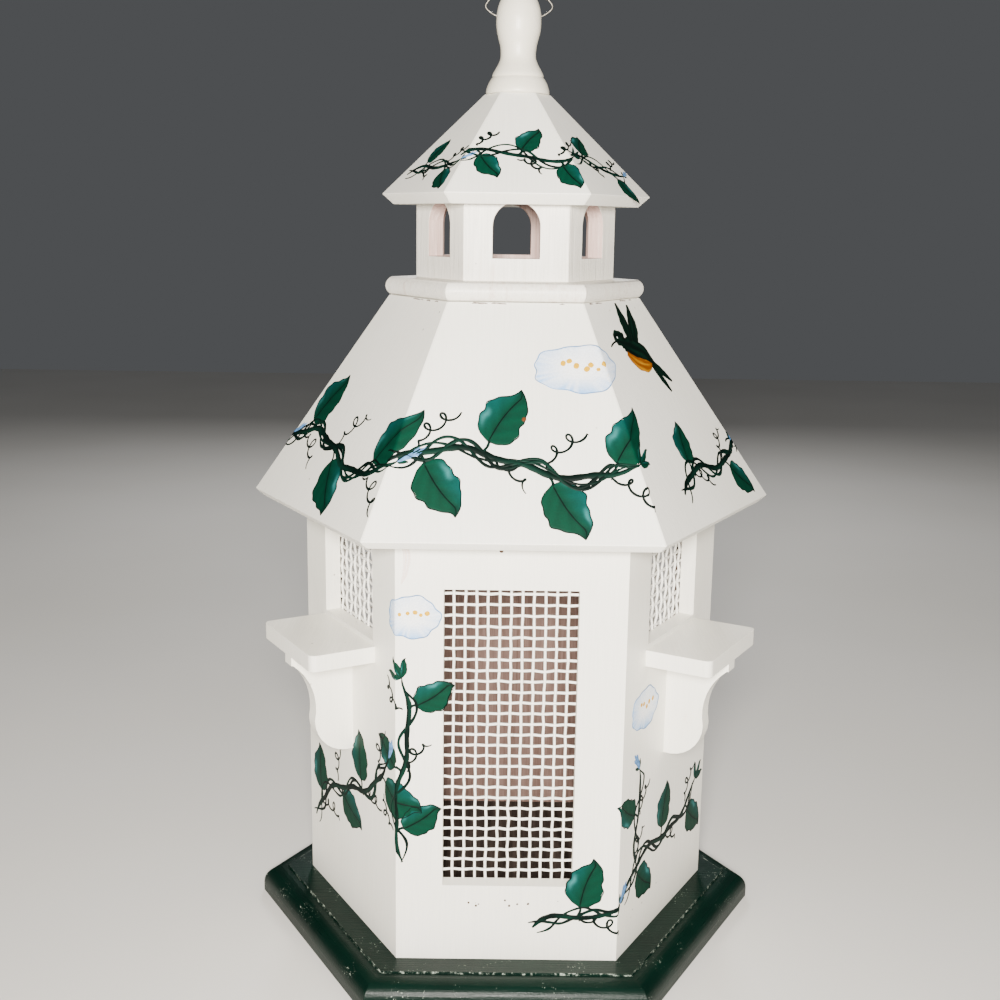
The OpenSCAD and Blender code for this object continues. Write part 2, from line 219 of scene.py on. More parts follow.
# Galvanised wire cloth brushed over with the ivory paint: thick and lumpy, with a few bare zinc spots.
def paintedWire():
    m, t = newMaterial("paintedHardwareCloth")
    place = node(t, "TexCoord", 3)
    lump = node(t, "TexNoise", Vector=place, Scale=500.0, Detail=3.0)  # paint runs about 2 mm
    bare = node(t, "TexNoise", Vector=place, Scale=150.0, Detail=4.0, Roughness=0.7)
    spots = node(t, "ValToRGB", i0=bare, stops=[(0.62, 0.0), (0.70, 0.6)])
    colour = node(t, "Mix", 2, i0=spots, i6=linear("#f4f1e9"), i7=linear("#8d8b84"))
    bump = node(t, "Bump", Height=lump, Strength=0.5, Distance=0.2 * mm)
    shader = node(t, "BsdfPrincipled", Base_Color=colour, Normal=bump, Roughness=0.38, IOR=1.5)
    node(t, "OutputMaterial", Surface=shader)
    return m


# Small drawn-steel hardware, zinc-plated or annealed: dull grey, cloudy, softly reflecting.
def drawnSteel(name, tone, rough):
    m, t = newMaterial(name)
    cloud = node(t, "TexNoise", Vector=node(t, "TexCoord", 3), Scale=700.0, Detail=4.0, Roughness=0.7)
    colour = node(t, "Mix", 2, i0=cloud, i6=linear(tone), i7=linear("#5b5853"))
    haze = node(t, "ValToRGB", i0=cloud, stops=[(0.3, rough), (0.7, rough + 0.2)])
    shader = node(t, "BsdfPrincipled", Base_Color=colour, Roughness=haze, Metallic=1.0)
    node(t, "OutputMaterial", Surface=shader)
    return m


# Artist's acrylic over the ivory coat: full-bodied colour that each stroke carries in its own "paint"
# attribute, with fine bristle drag and a satin sheen.
def artistAcrylic(name, rough):
    m, t = newMaterial(name)
    tone = node(t, "Attribute", attribute_name="paint")
    drag = node(t, "TexNoise", Vector=node(t, "TexCoord", 3), Scale=1100.0, Detail=3.0)  # drag about 0.9 mm
    shade = node(t, "ValToRGB", i0=drag, stops=[(0.35, 0.86), (0.65, 1.0)])
    colour = node(t, "Mix", 2, blend_type="MULTIPLY", i0=1.0, i6=tone, i7=shade)
    bump = node(t, "Bump", Height=drag, Strength=0.35, Distance=0.15 * mm)
    shader = node(t, "BsdfPrincipled", Base_Color=colour, Normal=bump, Roughness=rough, IOR=1.45,
                  Specular_IOR_Level=0.08)
    node(t, "OutputMaterial", Surface=shader)
    return m


# The outer plane of a front board: its lower and upper edge as distance from the axis and height.
def faceOf(nodeName):
    co = np.array([v.co for v in frame["nodes"][nodeName].data.vertices])
    low = co[co[:, 1].argmin()]
    top = co[co[:, 2] > co[:, 2].max() - nearlyLevel]
    high = top[top[:, 1].argmin()]
    if abs(low[1] - high[1]) < nearlyLevel:  # an upright board: take its own foot
        low = np.array([0, low[1], co[:, 2].min()])
    return {"a0": -low[1], "z0": low[2], "a1": -high[1], "z1": high[2],
            "length": math.hypot(high[1] - low[1], high[2] - low[2])}


faces = {"wall": faceOf("wall_front"), "roof": faceOf("roof_panel_front"),
         "cap": faceOf("cupola_roof_front")}
baseOut = -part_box("base_plinth")[0][1]
innerWall = -max(v.co.y for v in frame["nodes"]["screen_front"].data.vertices)  # the cloth's inner face
cornerWrap = {"reach": 1.2 * mm, "lift": 0.16 * mm}


# Places flat paint on the six-sided body: x across from the middle of a side, y up the board from its lower
# edge. Past a corner x carries on round the next side. lift is the height off the wood.
def onFace(kind, side, x, y, lift=0.0):
    face = faces[kind]
    x, y, lift = np.broadcast_arrays(np.asarray(x, float), np.asarray(y, float), np.asarray(lift, float))
    t = y / face["length"]
    a = face["a0"] + (face["a1"] - face["a0"]) * t
    z = face["z0"] + (face["z1"] - face["z0"]) * t
    half = a * tan30
    turn = np.floor((x + half) / (2 * half))
    along = x - 2 * half * turn
    angle = np.radians(60 * (sides.index(side) + turn) - 90)
    rise = (face["z1"] - face["z0"]) / face["length"]
    lean = (face["a1"] - face["a0"]) / face["length"]
    near = np.clip(1 - (half - np.abs(along)) / cornerWrap["reach"], 0, 1)  # turns the normal at a corner
    normalAngle = angle + np.radians(30) * near * np.sign(along)
    p = np.stack([np.cos(angle) * a - np.sin(angle) * along,
                  np.sin(angle) * a + np.cos(angle) * along, z], -1)
    n = np.stack([np.cos(normalAngle) * rise, np.sin(normalAngle) * rise, np.full_like(z, -lean)], -1)
    return p + n * (lift + cornerWrap["lift"] * near ** 2)[..., None]  # carries the film over it


def addObject(name, data):  # a new object of that data, in the scene
    obj = bpy.data.objects.new(name, data)
    bpy.context.scene.collection.objects.link(obj)
    return obj


# Makes a smooth-shaded object from points and faces and puts it on its body and slot. colour is one linear
# colour for each point, and uv one flat place for each point.
def meshFrom(name, points, quads, body, material, colour=None, uv=None):
    mesh = bpy.data.meshes.new(name)
    mesh.from_pydata(np.asarray(points).tolist(), [], quads if isinstance(quads, list) else quads.tolist())
    mesh.polygons.foreach_set("use_smooth", np.ones(len(mesh.polygons), bool))
    if colour is not None:
        layer = mesh.attributes.new("paint", "FLOAT_COLOR", "POINT")
        layer.data.foreach_set("color", np.asarray(colour, np.float32).ravel())
    if uv is not None:
        loops = np.zeros(len(mesh.loops), np.int32)
        mesh.loops.foreach_get("vertex_index", loops)
        mesh.uv_layers.new(name="UVMap").data.foreach_set("uv", np.asarray(uv, np.float32)[loops].ravel())
    mesh.materials.append(material)
    obj = addObject(name, mesh)
    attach(obj, body)
    return obj


# Quads of a grid of points numbered row by row; the columns may close into a ring, and so may the rows.
def gridQuads(rows, columns, ringRows=False, ring=False, flip=False):
    i = np.arange(rows if ringRows else rows - 1)[:, None]
    j = np.arange(columns if ring else columns - 1)[None, :]
    i2, j2 = (i + 1) % rows, (j + 1) % columns
    corners = [i * columns + j, i * columns + j2, i2 * columns + j2, i2 * columns + j]
    quads = np.stack(np.broadcast_arrays(*corners), -1).reshape(-1, 4)
    return quads[:, ::-1] if flip else quads


# A smooth curve through given points: on each stretch a cubic whose slope at a point is half the way
# between its neighbours. The whole is then spaced evenly.
def spline(points, step):
    p = np.asarray(points, float)
    q = np.vstack([2 * p[0] - p[1], p, 2 * p[-1] - p[-2]])
    t = np.linspace(0, 1, 24, endpoint=False)[:, None]
    parts = [0.5 * (2 * b + (c - a) * t + (2 * a - 5 * b + 4 * c - d) * t ** 2
                    + (3 * b - a - 3 * c + d) * t ** 3)
             for a, b, c, d in zip(q[:-3], q[1:-2], q[2:-1], q[3:])]
    line = np.vstack(parts + [p[-1:]])
    s = np.r_[0, np.cumsum(np.linalg.norm(np.diff(line, axis=0), axis=1))]
    even = np.linspace(0, s[-1], max(int(s[-1] / step), 3))
    return np.stack([np.interp(even, s, line[:, k]) for k in range(line.shape[1])], -1)


# Rings round a path: each ring is a circle in the plane of out and of the direction square to out and path.
def tube(path, out, radius, count, closed=False):
    along = np.roll(path, -1, 0) - np.roll(path, 1, 0) if closed else np.gradient(path, axis=0)
    along /= np.linalg.norm(along, axis=1, keepdims=True)
    side = np.cross(along, out)
    side /= np.linalg.norm(side, axis=1, keepdims=True)
    up = np.cross(side, along)
    a = np.linspace(0, 2 * np.pi, count, endpoint=False)[:, None]
    radius = np.broadcast_to(np.asarray(radius, float), len(path))[:, None, None]
    return path[:, None] + radius * (np.cos(a) * side[:, None] + np.sin(a) * up[:, None])


# The flat ends of a tube of rings numbered from start on.
def tubeEnds(start, rings, count):
    last = start + (rings - 1) * count
    return [list(range(start, start + count)), list(range(last, last + count))[::-1]]


boardLooks = {
    "wall": dict(pale="#f4f2ea", warm="#ebe7da", streak=0.5, thinAt=0.62, thin=0.30, wood="#c9a18f",
                 rough=0.42, grain=0.35, bump=0.55),
    "roof": dict(pale="#f4f2ea", warm="#ebe8dd", streak=0.5, thinAt=0.66, thin=0.25, wood="#c9a18f",
                 rough=0.42, grain=0.3, bump=0.5),
    "cupola": dict(pale="#f2efe8", warm="#e2dccf", streak=1.0, thinAt=0.50, thin=0.5, wood="#b8917f",
                   rough=0.5, grain=1.3, bump=1.0),
    "turned": dict(pale="#ece7d9", warm="#ded6c3", streak=0.3, thinAt=0.58, thin=0.4, wood="#b99c84",
                   rough=0.4, grain=0.15, bump=0.5),
}
paints = {k: ivoryPaint("ivorySemiGloss" + k.capitalize(), v) for k, v in boardLooks.items()}
greenGloss = greenGlossPaint(baseOut - 14 * mm, innerWall)
insideWood = bareCedar("bareCedarInside", "#9f8176", "#75594f")
revealWood = bareCedar("thinlyPaintedCedar", "#e0c6bd", "#c09f94")
print("materials made")


# Across and along the board in metres: across is level on the face, along is up the face.
def boardUv(mesh):
    count = len(mesh.polygons)
    normals, totals = np.zeros(count * 3), np.zeros(count, np.int32)
    mesh.polygons.foreach_get("normal", normals)
    mesh.polygons.foreach_get("loop_total", totals)
    loops, co = np.zeros(len(mesh.loops), np.int32), np.zeros(len(mesh.vertices) * 3)
    mesh.loops.foreach_get("vertex_index", loops)
    mesh.vertices.foreach_get("co", co)
    co = co.reshape(-1, 3)[loops]
    n = np.repeat(normals.reshape(-1, 3), totals, axis=0)
    across = np.stack([-n[:, 1], n[:, 0], np.zeros(len(n))], -1)
    length = np.linalg.norm(across, axis=1, keepdims=True)
    across = np.where(length > 0.05, across / np.maximum(length, 1e-9), [1.0, 0, 0])
    uv = np.stack([(co * across).sum(1), (co * np.cross(n, across)).sum(1)], -1)
    mesh.uv_layers.new(name="UVMap").data.foreach_set("uv", uv.astype(np.float32).ravel())


# A copy of a CAD board with merged corners, edges rounded as sandpaper and paint leave them, and a face
# map for the grain. choose(centres, normals) is true for the faces that take the second material.
def softBoard(nodeName, materials, soften, choose=None):
    source = frame["nodes"][nodeName]
    mesh = source.data.copy()
    mesh.name = nodeName + "Board"
    bm = bmesh.new()
    bm.from_mesh(mesh)
    bmesh.ops.remove_doubles(bm, verts=bm.verts, dist=0.001 * mm)
    bmesh.ops.dissolve_limit(bm, angle_limit=math.radians(0.6), verts=bm.verts, edges=bm.edges)
    bm.to_mesh(mesh)
    bm.free()
    while mesh.uv_layers:
        mesh.uv_layers.remove(mesh.uv_layers[0])
    boardUv(mesh)
    mesh.materials.clear()
    for m in materials:
        mesh.materials.append(m)
    index = np.zeros(len(mesh.polygons), np.int32)
    if choose:
        centre = np.array([p.center for p in mesh.polygons])
        normal = np.array([p.normal for p in mesh.polygons])
        index = choose(centre, normal).astype(np.int32)
    mesh.polygons.foreach_set("material_index", index)
    mesh.polygons.foreach_set("use_smooth", np.ones(len(mesh.polygons), bool))
    mesh.set_sharp_from_angle(angle=math.radians(25))
    obj = addObject(nodeName + "Board", mesh)
    bevel = obj.modifiers.new("softEdge", "BEVEL")
    bevel.width, bevel.segments = soften, 2
    bevel.limit_method, bevel.angle_limit = "ANGLE", math.radians(35)
    obj.modifiers.new("evenShading", "WEIGHTED_NORMAL")
    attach(obj, source["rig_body"])
    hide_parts(nodeName)
    return obj


def facingIn(centre, normal):  # faces that look towards the axis
    flat = centre * [1, 1, 0]
    flat = flat / np.maximum(np.linalg.norm(flat, axis=1, keepdims=True), 1e-9)
    return (normal * flat).sum(1) < -0.8


def archFaces(centre, normal):  # the cupola walls' inner faces and the insides of their arches
    outer = -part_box("cupola_wall_front")[0][1]
    low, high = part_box("collar")[1][2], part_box("cupola_wall_front")[1][2]
    inside = np.linalg.norm(centre[:, :2], axis=1) < outer - 1 * mm
    arch = inside & (centre[:, 2] > low + 5 * mm) & (centre[:, 2] < high - 3 * mm)
    return facingIn(centre, normal) | arch


softEdges = {"wall": 0.5 * mm, "shelf": 1.1 * mm, "bracket": 0.7 * mm, "roof": 0.5 * mm,
             "cupola": 0.4 * mm, "base": 0.5 * mm}
for side in sides:
    softBoard("wall_" + side, [paints["wall"], insideWood], softEdges["wall"], facingIn)
    softBoard("roof_panel_" + side, [paints["roof"]], softEdges["roof"])
    softBoard("cupola_wall_" + side, [paints["cupola"], revealWood], softEdges["cupola"],
              archFaces)
    softBoard("cupola_roof_" + side, [paints["roof"]], softEdges["roof"])
for side in shelfSides:
    softBoard("shelf_" + side, [paints["wall"]], softEdges["shelf"])
    softBoard("bracket_" + side, [paints["wall"]], softEdges["bracket"])
softBoard("collar", [paints["cupola"]], softEdges["cupola"])
softBoard("base_plinth", [greenGloss], softEdges["base"])
print("boards softened")

zincPlate = drawnSteel("zincPlatedSteel", "#b5b3ac", 0.35)
for nodeName, finish in (("floor_screws", zincPlate), ("shelf_screws", zincPlate),
                         ("bracket_screws", zincPlate), ("screen_staples", zincPlate),
                         ("apex_block", insideWood), ("finial_dowel", insideWood)):
    frame["nodes"][nodeName].data.materials.clear()
    frame["nodes"][nodeName].data.materials.append(finish)

finialShape = {
    # height above the foot and radius in millimetres: foot bead, groove, bell, neck and head
    "profile": [(0, 18.0), (0.6, 18.5), (2.4, 18.4), (4.6, 17.7), (6.8, 16.7), (8.4, 15.7), (9.3, 14.9),
                (9.6, 14.5), (10.0, 15.0), (11.5, 14.6), (14.4, 13.0), (17, 11.5), (20, 10.4),
                (23.5, 10.25), (27.5, 10.75), (31.5, 11.8), (35.5, 12.7), (40, 13.0), (44, 12.8),
                (48, 12.1), (52, 10.6), (56, 8.2), (59, 5.2), (60.8, 2.4), (61.3, 0.02)],
    "step": 0.55, "around": 72, "lobes": 0.004, "girth": 13 * mm,
    "bore": 1.2 * mm, "boreAround": 20, "drill": 30 * mm,
}


# A profile of height and radius carried round the axis; the radius swells by three faint lobes, as a
# hand-fed lathe leaves it. The cross hole is a straight cylinder taken out of it from side to side.
def turnedFinial(shape, foot, hole):
    p = spline(shape["profile"], shape["step"]) * mm
    h, angle = p[:, :1], np.linspace(0, 2 * np.pi, shape["around"], endpoint=False)
    r = p[:, 1:] * (1 - shape["lobes"] * (1 + np.sin(3 * angle + 670 * h)) / 2)
    points = np.stack([r * np.cos(angle), r * np.sin(angle), h + foot + 0 * angle], -1)
    uv = np.stack([angle * shape["girth"] + 0 * h, h + 0 * angle], -1)
    n = len(angle)
    ends = [list(range(n))[::-1], list(range(n * (len(p) - 1), n * len(p)))]
    obj = meshFrom("turnedFinial", points.reshape(-1, 3), gridQuads(len(p), n, ring=True).tolist() + ends,
                   "roof", paints["turned"], uv=uv.reshape(-1, 2))
    a = np.linspace(0, 2 * np.pi, shape["boreAround"], endpoint=False)
    drill = bpy.data.meshes.new("drill")
    x = np.array([-1, 1])[:, None] * shape["drill"] + 0 * a
    rim = np.stack([x, hole[1] + shape["bore"] * np.cos(a) + 0 * x,
                    hole[2] + shape["bore"] * np.sin(a) + 0 * x], -1)
    m = len(a)
    drill.from_pydata(rim.reshape(-1, 3).tolist(), [], gridQuads(2, m, ring=True, flip=True).tolist()
                      + [list(range(m)), list(range(m, 2 * m))[::-1]])
    drill.validate()
    bm = bmesh.new()
    bm.from_mesh(drill)
    bmesh.ops.recalc_face_normals(bm, faces=bm.faces)
    bm.to_mesh(drill)
    bm.free()
    cutter = addObject("drill", drill)
    cut = obj.modifiers.new("crossHole", "BOOLEAN")
    cut.operation, cut.object, cut.solver = "DIFFERENCE", cutter, "EXACT"
    graph = bpy.context.evaluated_depsgraph_get()
    drilled = bpy.data.meshes.new_from_object(obj.evaluated_get(graph))
    obj.modifiers.clear()
    obj.data = drilled
    drilled.set_sharp_from_angle(angle=math.radians(40))
    bpy.data.objects.remove(cutter)
    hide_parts("finial")


bailJoint = next(j for j in frame["record"]["behaviour"]["joints"] if j["name"] == "bail_swing")
turnedFinial(finialShape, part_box("finial")[0][2], bailJoint["pos_m"])
print("finial turned")

screenCloth = {"wire": 1.6 * mm, "around": 6, "perCell": 4, "swing": 0.4 * mm, "drift": 0.14 * mm,
               "pitch": 6.35 * mm, "setBack": 0.2 * mm, "seed": 40}
wireFinish = paintedWire()


# Plain-woven wire cloth: each wire is a cosine wave two cells long, over one crossing wire and under the
# next, neighbouring wires are out of step, and each drifts a little sideways. It fills the lattice's place.
def wovenScreen(side, seed, cloth):
    nodeName = "screen_" + side
    co = np.array([v.co for v in frame["nodes"][nodeName].data.vertices])
    angle = math.radians(60 * sides.index(side) - 90)
    normal = np.array([math.cos(angle), math.sin(angle), 0])
    across, up = np.array([-math.sin(angle), math.cos(angle), 0]), np.array([0, 0, 1.0])
    pitch, random = cloth["pitch"], np.random.default_rng(seed)
    middle = co @ normal
    middle = (middle.min() + middle.max()) / 2 - cloth["setBack"]
    start, wires = [], []
    for axis in (across, up):
        low, high = (co @ axis).min(), (co @ axis).max()
        wires.append(int(round((high - low) / pitch)) + 1)
        start.append((low + high - (wires[-1] - 1) * pitch) / 2)
    points, quads, ends, count = [], [], [], 0
    for way, (fixed, running) in enumerate(((across, up), (up, across))):
        n = wires[1 - way]
        s = np.linspace(0, n - 1, (n - 1) * cloth["perCell"] + 1)
        for k in range(wires[way]):
            aside = start[way] + k * pitch + np.interp(s, np.arange(n), random.normal(0, cloth["drift"], n))
            wave = cloth["swing"] * np.cos(np.pi * (s + k + way))
            path = (fixed * aside[:, None] + running * (start[1 - way] + s * pitch)[:, None]
                    + normal * (middle + wave)[:, None])
            ring = tube(path, normal, cloth["wire"] / 2, cloth["around"])
            points.append(ring.reshape(-1, 3))
            quads.append(gridQuads(len(s), cloth["around"], ring=True, flip=True) + count)
            ends += tubeEnds(count, len(s), cloth["around"])
            count += ring.size // 3
    obj = meshFrom("wovenScreen_" + side, np.vstack(points), np.vstack(quads).tolist() + ends, "house",
                   wireFinish)
    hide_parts(nodeName)


for k, side in enumerate(sides):
    wovenScreen(side, screenCloth["seed"] + k, screenCloth)
print("screens woven")

bailShape = {
    # from the middle of the finial's cross hole round to the top, in millimetres
    "half": [(0, 0), (6, 0), (12, 0.2), (16.5, 2.4), (19.2, 5.4), (17.6, 8.6), (12.5, 13.6), (6.8, 19.4),
             (3, 24), (0, 26)],
    "wire": 0.96 * mm, "around": 12,
    # the binding: where it is, turns, half its run in steps, and its coil and wire radius in wire widths
    "binding": (14.6, 12.2), "bindingTurns": 5, "bindingRun": 5, "coil": 0.9, "bindingWire": 0.42,
    "bindingAround": 8,
}


# The wire is a round tube along the closed outline. The binding that closes it is a helix: its centre runs
# along the outline while it goes round at a wire's width.
def wireBail(shape, hole):
    half = np.array(shape["half"], float)
    outline = spline(np.vstack([half, (half * [-1, 1])[-2:0:-1], half[:1]]), 0.5)[:-1]
    path = np.stack([outline[:, 0], 0 * outline[:, 0], outline[:, 1]], -1) * mm + hole
    level = np.array([0, 1.0, 0])
    ring = tube(path, level, shape["wire"] / 2, shape["around"], closed=True)
    quads = gridQuads(len(path), shape["around"], ringRows=True, ring=True, flip=True)
    near = np.linalg.norm(outline - shape["binding"], axis=1).argmin()
    core = spline(path[near - shape["bindingRun"]:near + shape["bindingRun"] + 1], 0.12 * mm)
    turn = np.linspace(0, 2 * np.pi * shape["bindingTurns"], len(core))[:, None]
    run = np.gradient(core, axis=0)
    run /= np.linalg.norm(run, axis=1, keepdims=True)
    spin = np.cos(turn) * np.cross(run, level) + np.sin(turn) * level
    coil = core + shape["wire"] * shape["coil"] * spin
    coilRing = tube(coil, run, shape["wire"] * shape["bindingWire"], shape["bindingAround"])
    points = np.vstack([ring.reshape(-1, 3), coilRing.reshape(-1, 3)])
    first = len(path) * shape["around"]
    coilQuads = gridQuads(len(coil), shape["bindingAround"], ring=True, flip=True) + first
    quads = np.vstack([quads, coilQuads]).tolist() + tubeEnds(first, len(coil), shape["bindingAround"])
    obj = meshFrom("wireBail", points, quads, "bail",
                   drawnSteel("annealedWire", "#9b968c", 0.4))
    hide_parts("hanging_bail")


wireBail(bailShape, np.array(bailJoint["pos_m"]))
print("bail bent")

tones = {name: np.array(linear(value)) for name, value in {
    "stem": "#020e0a", "stemLight": "#053024", "leafDark": "#011a13", "leaf": "#013424",
    "leafTeal": "#023f3c", "leafPale": "#3c8484", "rib": "#010e0a", "petal": "#f4f6f8",
    "petalBlue": "#78aee8", "petalEdge": "#4f74a0", "pollen": "#cf9d02", "bird": "#020d08",
    "birdLight": "#072c1e", "belly": "#cf9606", "bellyDark": "#7a4008", "spot": "#5a3018",
    "dirt": "#4a3a2e", "worn": "#eadad0"}.items()}
paintWork = {"film": 0.08 * mm, "bead": 0.2 * mm, "tuck": -0.06 * mm, "cell": 0.8, "fullWidth": 1.6,
             "tendril": 1.5, "smallLeaf": 6, "seed": 358}
random = np.random.default_rng(paintWork["seed"])


# An empty store for strokes, with a count of the points laid so far.
def newPaint():
    return {"points": [], "quads": [], "colour": [], "count": 0}


# Keeps one patch of paint. Its faces are turned if, taken together, they look towards the axis.
def lay(paint, kind, side, xy, lift, colour):
    points = onFace(kind, side, xy[..., 0] * mm, xy[..., 1] * mm, lift)
    quads, p = gridQuads(*xy.shape[:2]), points.reshape(-1, 3)
    normal = np.cross(p[quads[:, 2]] - p[quads[:, 0]], p[quads[:, 3]] - p[quads[:, 1]])
    if (normal * p[quads[:, 0]] * [1, 1, 0]).sum() < 0:
        quads = quads[:, ::-1]
    paint["points"].append(p)
    paint["quads"].append(quads + paint["count"])
    paint["colour"].append(np.broadcast_to(colour, (*xy.shape[:2], 4)).reshape(-1, 4))
    paint["count"] += len(p)


def blendTone(a, b, share):  # a where share is 0, b where it is 1, straight between
    share = np.clip(np.asarray(share, float), 0, 1)[..., None]
    return a * (1 - share) + b * share


def squareTo(path):  # unit directions to the left of a flat path
    d = np.gradient(path, axis=0)
    d /= np.maximum(np.linalg.norm(d, axis=1, keepdims=True), 1e-9)
    return np.stack([-d[:, 1], d[:, 0]], -1)


# One pull of a loaded liner brush: a low rounded bead along a line, thin at both ends and a little uneven.
# Across the line its height is that of a half circle, squashed to the bead's height.
def stroke(paint, kind, side, line, width, dark="stem", pale="stemLight", ends=(0.35, 0.2), drawn=False):
    path = np.asarray(line, float) if drawn else spline(line, paintWork["cell"])
    n, t = squareTo(path), np.linspace(0, 1, len(path))
    turns = random.uniform(0, 6, 3)
    uneven = 1 + 0.14 * np.sin(len(path) * t / 2.2 + turns[0]) * np.sin(23 * t + turns[1])
    start = np.clip(ends[0] + (1 - ends[0]) * t / 0.1, 0, 1)
    stop = np.clip(ends[1] + (1 - ends[1]) * (1 - t) / 0.14, 0, 1)
    s = np.array([-1, -0.6, 0, 0.6, 1])
    xy = path[:, None] + n[:, None] * (width / 2 * uneven * start * stop)[:, None, None] * s[:, None]
    bead = np.sqrt(1 - s ** 2) * paintWork["bead"] * min(1, width / paintWork["fullWidth"])
    rise = np.where(np.abs(s) < 1, paintWork["film"] + bead, paintWork["tuck"])
    shade = (0.5 + 0.5 * np.sin(17 * t + turns[2])[:, None]) * np.clip(np.cos(2.4 * (s + 0.35)), 0, 1)
    lay(paint, kind, side, xy, rise + 0 * t[:, None], blendTone(tones[dark], tones[pale], shade * 0.8))


# the main stem first, then its thinner companions
strandWork = {"pull": (0.25, 1.35, 1.6, 0.9), "load": 1.3, "share": (1, 0.6, 0.48, 0.4)}


# Stems wound round each other: each strand leaves the line by a sine, out of step with the others, and the
# thinner ones swing further.
def twine(paint, kind, side, line, strands, width, sway, wave):
    path = spline(line, paintWork["cell"])
    n, s = squareTo(path), np.arange(len(path)) * paintWork["cell"]
    for k in range(strands):
        phase = 2 * np.pi * k / strands + random.uniform(-0.4, 0.4)
        pull = sway * strandWork["pull"][k]
        off = pull * np.sin(2 * np.pi * s / (wave * (1 + 0.21 * k)) + phase)
        off = off * np.clip(8 - 8 * s / s[-1], 0, 1)  # the strands meet at the end
        load = width * strandWork["load"] * strandWork["share"][k]
        stroke(paint, kind, side, path + n * off[:, None], load, drawn=True)


# A tendril in running loops: a point goes round a circle whose centre moves along a bowed line, and the
# circle grows from nothing and shrinks again.
def curl(paint, kind, side, start, end, loops, size):
    a, b = np.asarray(start, float), np.asarray(end, float)
    t = np.linspace(0, 1, int(22 * loops) + 24)[:, None]
    square = np.array([a[1] - b[1], b[0] - a[0]])
    spin = 2 * np.pi * loops * t + random.uniform(0, 6)
    r = size * 1.35 * np.sin(np.pi * np.clip(t * 0.94, 0, 1)) ** 0.6 * (0.8 + 0.2 * np.sin(9 * t + loops))
    path = a + (b - a) * t + 0.18 * square * np.sin(np.pi * t) + np.hstack([np.cos(spin), np.sin(spin)]) * r
    stroke(paint, kind, side, path, paintWork["tendril"], "stem", "stem", ends=(0.7, 0.35), drawn=True)


# A leaf in two brush loads. The half-width is a power of the way from the stalk times a power of the way to
# the tip, waved at the margin and drawn back past the stalk; the midrib bends in a bow and the tip hooks.
# One half is lit, with pale streaks, and a thin dark line runs round it and down the midrib.
def leaf(paint, kind, side, base, tip, half, bend, narrow=False):
    a, b = np.asarray(base, float), np.asarray(tip, float)
    length = np.linalg.norm(b - a)
    along = (b - a) / length
    square = np.array([-along[1], along[0]])
    rows, columns = max(int(length / 1.0), 14), max(int(half / 0.8) * 2 + 1, 9)
    t, s = np.linspace(0, 1, rows)[:, None], np.linspace(-1, 1, columns)[None, :]
    turns = random.uniform(0, 6, 3)
    swell, point = (0.75, 0.95) if narrow else (0.5, 0.92)
    edge = t ** swell * (1 - t) ** point / (0.44 if narrow else 0.40)
    edge = edge * (1 + 0.07 * np.sin(13 * t + turns[0] + s) + 0.045 * np.sin(29 * t + turns[1] - 2 * s))
    back = (0 if narrow else 0.05) * np.abs(s) ** 1.5 * np.exp(-t / 0.16)
    bow = bend * np.sin(np.pi * t * 0.9) - 0.1 * bend * t
    hook = 0.12 * np.clip((t - 0.84) / 0.16, 0, 1) ** 2 * np.sign(bend)
    xy = a + ((t - back) * length)[..., None] * along
    xy = xy + (s * half * edge + (bow + hook) * length)[..., None] * square
    vein = 0.5 + 0.5 * np.sin(23 * t - 8 * np.abs(s) + turns[2])
    bright, body = s > 0, np.sin(np.pi * t)
    groove = np.exp(-np.abs(s) / 0.12)
    colour = blendTone(tones["leafDark"], tones["leaf"], 0.72 + 0.2 * vein - 0.5 * groove)
    colour = blendTone(colour, tones["leafTeal"], bright * (np.abs(s) - 0.1) * (1.0 + 0.3 * vein) * body)
    streak = np.exp(-((np.abs(s) - 0.78) / 0.14) ** 2) * np.clip(np.sin(8 * t + turns[0]), 0, 1) * body
    colour = blendTone(colour, tones["leafPale"], bright * streak * 0.65)
    colour = blendTone(colour, tones["leafDark"], np.clip((t - 0.8) / 0.2, 0, 1) * 0.8 + 0 * s)
    lift = paintWork["film"] * (0.9 + 0.8 * (1 - s ** 2) + 0.35 * vein)
    lift = np.where(np.abs(s) < 1, lift, paintWork["tuck"]) + 0 * t
    lay(paint, kind, side, xy, lift, colour)
    rimWidth, ribWidth = (0.75, 1.0) if half > paintWork["smallLeaf"] else (0.5, 0.6)
    rim, rib = np.vstack([xy[:, 0], xy[::-1, -1]]), xy[:, columns // 2]
    stroke(paint, kind, side, rim, rimWidth, "rib", "stem", ends=(0.6, 0.6), drawn=True)
    stroke(paint, kind, side, rib, ribWidth, "rib", "stem", ends=(1, 0.3), drawn=True)


# A round patch without a pole: a square grid drawn out to a disc, each side bulging by the other's square.
def roundGrid(n):
    u, v = np.meshgrid(np.linspace(-1, 1, n), np.linspace(-1, 1, n))
    return u * np.sqrt(1 - v ** 2 / 2), v * np.sqrt(1 - u ** 2 / 2)


# A touch of the brush tip: a low dome whose height is the root of one less the radius squared.
def dab(paint, kind, side, at, radius, tone):
    u, v = roundGrid(7)
    lift = np.sqrt(np.clip(1 - u ** 2 - v ** 2, 0, 1)) * paintWork["bead"] * 1.2 + paintWork["tuck"]
    stretch, turn = random.uniform(0.85, 1.25), random.uniform(0, 6)
    c, s = math.cos(turn), math.sin(turn)
    u, v = u * stretch * c - v * s, u * stretch * s + v * c
    xy = np.stack([at[0] + radius * u, at[1] + radius * v], -1)
    lay(paint, kind, side, xy, lift + paintWork["film"], tones[tone])


